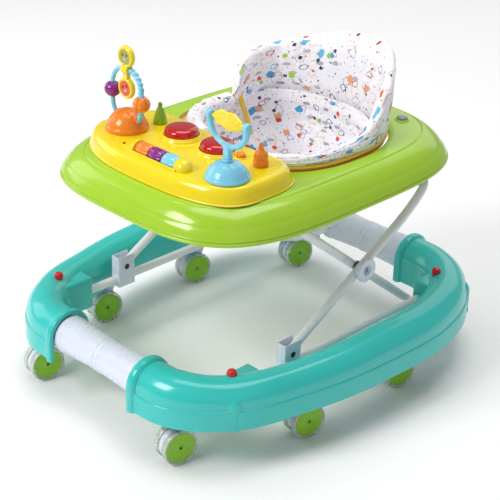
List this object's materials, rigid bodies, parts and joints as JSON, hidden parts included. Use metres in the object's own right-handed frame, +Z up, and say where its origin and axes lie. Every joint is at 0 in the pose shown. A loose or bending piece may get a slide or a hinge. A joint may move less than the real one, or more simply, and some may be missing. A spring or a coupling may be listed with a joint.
{
  "type": "baby walker",
  "caption": "Folding baby walker: oval base ring on twin-wheel casters, crossed tube legs that lower the tray, padded fabric seat and a toy console.",
  "frame": {"origin": "on the floor, under the middle of the base ring", "axes": "+Z up, +Y towards the back of the seat (the child faces -Y, where the toy console is), +X to the child's left-hand side when seen from the front"},
  "size_m": [0.5894, 0.672, 0.5314],
  "materials": {
    "teal_plastic": "glossy moulded teal",
    "white_plastic": "glossy white",
    "white_paint": "smooth white paint on steel tube",
    "steel": "plain zinc-plated",
    "lime_plastic": "glossy moulded lime",
    "yellow_plastic": "glossy moulded yellow",
    "orange_plastic": "glossy moulded orange",
    "red_plastic": "glossy, slightly see-through red",
    "purple_plastic": "glossy moulded purple",
    "sky_plastic": "glossy moulded light blue",
    "green_plastic": "satin moulded green",
    "fabric": "soft padded cloth with a small print",
    "circuit_board": "matte board"
  },
  "bodies": {
    "base": {"rail_left": "teal_plastic", "rail_right": "teal_plastic", "front_tube": "white_plastic", "rear_tube": "white_plastic", "slide_bar_left": "white_paint", "slide_bar_right": "white_paint"},
    "rear_legs": {"rear_leg_frame": "white_paint"},
    "front_legs": {"front_leg_frame": "white_paint", "hub_cap_left": "white_plastic", "hub_cap_right": "white_plastic"},
    "clevises": {"clevis_left": "white_plastic", "clevis_right": "white_plastic", "clevis_pin_left": "steel", "clevis_pin_right": "steel"},
    "tray": {"tray": "lime_plastic", "rear_bracket_left": "white_plastic", "rear_bracket_right": "white_plastic", "front_track_left": "white_plastic", "front_track_right": "white_plastic", "seat_ring": "orange_plastic", "seat_bucket": "fabric", "seat_back_pad": "fabric", "console": "yellow_plastic", "music_module": "circuit_board", "bead_dome": "orange_plastic", "bead_arch": "sky_plastic", "spinner_base": "sky_plastic"},
    "swivel_front_left": {"caster_fork_front_left": "white_plastic"},
    "wheels_front_left": {"caster_wheels_front_left": "green_plastic"},
    "swivel_front_right": {"caster_fork_front_right": "white_plastic"},
    "wheels_front_right": {"caster_wheels_front_right": "green_plastic"},
    "swivel_side_front_left": {"caster_fork_side_front_left": "white_plastic"},
    "wheels_side_front_left": {"caster_wheels_side_front_left": "green_plastic"},
    "swivel_side_front_right": {"caster_fork_side_front_right": "white_plastic"},
    "wheels_side_front_right": {"caster_wheels_side_front_right": "green_plastic"},
    "swivel_side_rear_left": {"caster_fork_side_rear_left": "white_plastic"},
    "wheels_side_rear_left": {"caster_wheels_side_rear_left": "green_plastic"},
    "swivel_side_rear_right": {"caster_fork_side_rear_right": "white_plastic"},
    "wheels_side_rear_right": {"caster_wheels_side_rear_right": "green_plastic"},
    "swivel_rear_left": {"caster_fork_rear_left": "white_plastic"},
    "wheels_rear_left": {"caster_wheels_rear_left": "green_plastic"},
    "swivel_rear_right": {"caster_fork_rear_right": "white_plastic"},
    "wheels_rear_right": {"caster_wheels_rear_right": "green_plastic"},
    "latch_button_front_left": {"latch_button_front_left": "red_plastic"},
    "latch_button_front_right": {"latch_button_front_right": "red_plastic"},
    "latch_button_rear_left": {"latch_button_rear_left": "red_plastic"},
    "latch_button_rear_right": {"latch_button_rear_right": "red_plastic"},
    "roller_orange": {"roller_orange": "orange_plastic"},
    "roller_purple": {"roller_purple": "purple_plastic"},
    "roller_blue": {"roller_blue": "sky_plastic"},
    "light_button_left": {"light_button_left": "red_plastic"},
    "light_button_right": {"light_button_right": "red_plastic"},
    "small_button": {"small_button": "orange_plastic"},
    "bead_purple": {"bead_purple": "purple_plastic"},
    "bead_orange": {"bead_orange": "orange_plastic"},
    "figure": {"figure": "yellow_plastic"},
    "spinner_yoke": {"spinner_yoke": "sky_plastic"},
    "spinner_leaf": {"spinner_leaf": "yellow_plastic"},
    "peg_cone": {"peg_cone": "green_plastic"},
    "peg_bottle": {"peg_bottle": "orange_plastic"}
  },
  "joints": [
    {"name": "rear_fold", "type": "hinge", "parent": "base", "child": "rear_legs", "pos_m": [0, 0.184, 0.1], "axis": [1, 0, 0], "range_deg": [0, 25]},
    {"name": "front_fold", "type": "hinge", "parent": "rear_legs", "child": "front_legs", "pos_m": [0, 0.049, 0.207], "axis": [1, 0, 0], "range_deg": [-48, 0]},
    {"name": "clevis_tilt", "type": "hinge", "parent": "front_legs", "child": "clevises", "pos_m": [0, -0.105, 0.119], "axis": [1, 0, 0], "range_deg": [0, 23]},
    {"name": "tray_tilt", "type": "hinge", "parent": "front_legs", "child": "tray", "pos_m": [0, 0.205, 0.312], "axis": [1, 0, 0], "range_deg": [0, 23]},
    {"name": "swivel_front_left", "type": "hinge", "parent": "base", "child": "swivel_front_left", "pos_m": [-0.1555, -0.2877, 0.08], "axis": [0, 0, 1], "continuous": true},
    {"name": "roll_front_left", "type": "hinge", "parent": "swivel_front_left", "child": "wheels_front_left", "pos_m": [-0.15758, -0.29748, 0.0285], "axis": [0.9781, -0.2079, 0], "continuous": true},
    {"name": "swivel_front_right", "type": "hinge", "parent": "base", "child": "swivel_front_right", "pos_m": [0.1555, -0.2877, 0.08], "axis": [0, 0, 1], "continuous": true},
    {"name": "roll_front_right", "type": "hinge", "parent": "swivel_front_right", "child": "wheels_front_right", "pos_m": [0.15342, -0.29748, 0.0285], "axis": [0.9781, -0.2079, 0], "continuous": true},
    {"name": "swivel_side_front_left", "type": "hinge", "parent": "base", "child": "swivel_side_front_left", "pos_m": [-0.234, -0.1017, 0.08], "axis": [0, 0, 1], "continuous": true},
    {"name": "roll_side_front_left", "type": "hinge", "parent": "swivel_side_front_left", "child": "wheels_side_front_left", "pos_m": [-0.23608, -0.11148, 0.0285], "axis": [0.9781, -0.2079, 0], "continuous": true},
    {"name": "swivel_side_front_right", "type": "hinge", "parent": "base", "child": "swivel_side_front_right", "pos_m": [0.234, -0.1017, 0.08], "axis": [0, 0, 1], "continuous": true},
    {"name": "roll_side_front_right", "type": "hinge", "parent": "swivel_side_front_right", "child": "wheels_side_front_right", "pos_m": [0.23192, -0.11148, 0.0285], "axis": [0.9781, -0.2079, 0], "continuous": true},
    {"name": "swivel_side_rear_left", "type": "hinge", "parent": "base", "child": "swivel_side_rear_left", "pos_m": [-0.236, 0.1063, 0.08], "axis": [0, 0, 1], "continuous": true},
    {"name": "roll_side_rear_left", "type": "hinge", "parent": "swivel_side_rear_left", "child": "wheels_side_rear_left", "pos_m": [-0.23808, 0.09652, 0.0285], "axis": [0.9781, -0.2079, 0], "continuous": true},
    {"name": "swivel_side_rear_right", "type": "hinge", "parent": "base", "child": "swivel_side_rear_right", "pos_m": [0.236, 0.1063, 0.08], "axis": [0, 0, 1], "continuous": true},
    {"name": "roll_side_rear_right", "type": "hinge", "parent": "swivel_side_rear_right", "child": "wheels_side_rear_right", "pos_m": [0.23392, 0.09652, 0.0285], "axis": [0.9781, -0.2079, 0], "continuous": true},
    {"name": "swivel_rear_left", "type": "hinge", "parent": "base", "child": "swivel_rear_left", "pos_m": [-0.1555, 0.2877, 0.08], "axis": [0, 0, 1], "continuous": true},
    {"name": "roll_rear_left", "type": "hinge", "parent": "swivel_rear_left", "child": "wheels_rear_left", "pos_m": [-0.15758, 0.27792, 0.0285], "axis": [0.9781, -0.2079, 0], "continuous": true},
    {"name": "swivel_rear_right", "type": "hinge", "parent": "base", "child": "swivel_rear_right", "pos_m": [0.1555, 0.2877, 0.08], "axis": [0, 0, 1], "continuous": true},
    {"name": "roll_rear_right", "type": "hinge", "parent": "swivel_rear_right", "child": "wheels_rear_right", "pos_m": [0.15342, 0.27792, 0.0285], "axis": [0.9781, -0.2079, 0], "continuous": true},
    {"name": "press_latch_button_front_left", "type": "slide", "parent": "base", "child": "latch_button_front_left", "axis": [0, 0, -1], "range_m": [0, 0.003], "stiffness_N_per_m": 300},
    {"name": "press_latch_button_front_right", "type": "slide", "parent": "base", "child": "latch_button_front_right", "axis": [0, 0, -1], "range_m": [0, 0.003], "stiffness_N_per_m": 300},
    {"name": "press_latch_button_rear_left", "type": "slide", "parent": "base", "child": "latch_button_rear_left", "axis": [0, 0, -1], "range_m": [0, 0.003], "stiffness_N_per_m": 300},
    {"name": "press_latch_button_rear_right", "type": "slide", "parent": "base", "child": "latch_button_rear_right", "axis": [0, 0, -1], "range_m": [0, 0.003], "stiffness_N_per_m": 300},
    {"name": "turn_roller_orange", "type": "hinge", "parent": "tray", "child": "roller_orange", "pos_m": [-0.019, -0.2, 0.403], "axis": [1, 0, 0], "continuous": true},
    {"name": "turn_roller_purple", "type": "hinge", "parent": "tray", "child": "roller_purple", "pos_m": [0.0095, -0.2, 0.403], "axis": [1, 0, 0], "continuous": true},
    {"name": "turn_roller_blue", "type": "hinge", "parent": "tray", "child": "roller_blue", "pos_m": [0.038, -0.2, 0.403], "axis": [1, 0, 0], "continuous": true},
    {"name": "press_light_button_left", "type": "slide", "parent": "tray", "child": "light_button_left", "axis": [0, 0, -1], "range_m": [0, 0.003], "stiffness_N_per_m": 400},
    {"name": "press_light_button_right", "type": "slide", "parent": "tray", "child": "light_button_right", "axis": [0, 0, -1], "range_m": [0, 0.003], "stiffness_N_per_m": 400},
    {"name": "press_small_button", "type": "slide", "parent": "tray", "child": "small_button", "axis": [0, 0, -1], "range_m": [0, 0.002], "stiffness_N_per_m": 250},
    {"name": "turn_bead_purple", "type": "hinge", "parent": "tray", "child": "bead_purple", "pos_m": [-0.143, -0.159, 0.456], "axis": [0, 0, 1], "continuous": true},
    {"name": "turn_bead_orange", "type": "hinge", "parent": "tray", "child": "bead_orange", "pos_m": [-0.077, -0.159, 0.449], "axis": [0, 0, 1], "continuous": true},
    {"name": "tumble_figure", "type": "hinge", "parent": "tray", "child": "figure", "pos_m": [-0.11, -0.159, 0.4955], "axis": [1, 0, 0], "continuous": true},
    {"name": "turn_spinner_yoke", "type": "hinge", "parent": "tray", "child": "spinner_yoke", "pos_m": [0.1225, -0.173, 0.44], "axis": [0, 0, 1], "continuous": true},
    {"name": "flip_spinner_leaf", "type": "hinge", "parent": "spinner_yoke", "child": "spinner_leaf", "pos_m": [0.1225, -0.173, 0.4865], "axis": [1, 0, 0], "continuous": true},
    {"name": "turn_peg_cone", "type": "hinge", "parent": "tray", "child": "peg_cone", "pos_m": [-0.093, -0.108, 0.41], "axis": [0, 0, 1], "continuous": true},
    {"name": "turn_peg_bottle", "type": "hinge", "parent": "tray", "child": "peg_bottle", "pos_m": [0.124, -0.108, 0.41], "axis": [0, 0, 1], "continuous": true}
  ],
  "couplings": [
    {"joint": "front_fold", "follows": "rear_fold", "ratio": -1.919},
    {"joint": "clevis_tilt", "follows": "rear_fold", "ratio": 0.919},
    {"joint": "tray_tilt", "follows": "rear_fold", "ratio": 0.919}
  ]
}
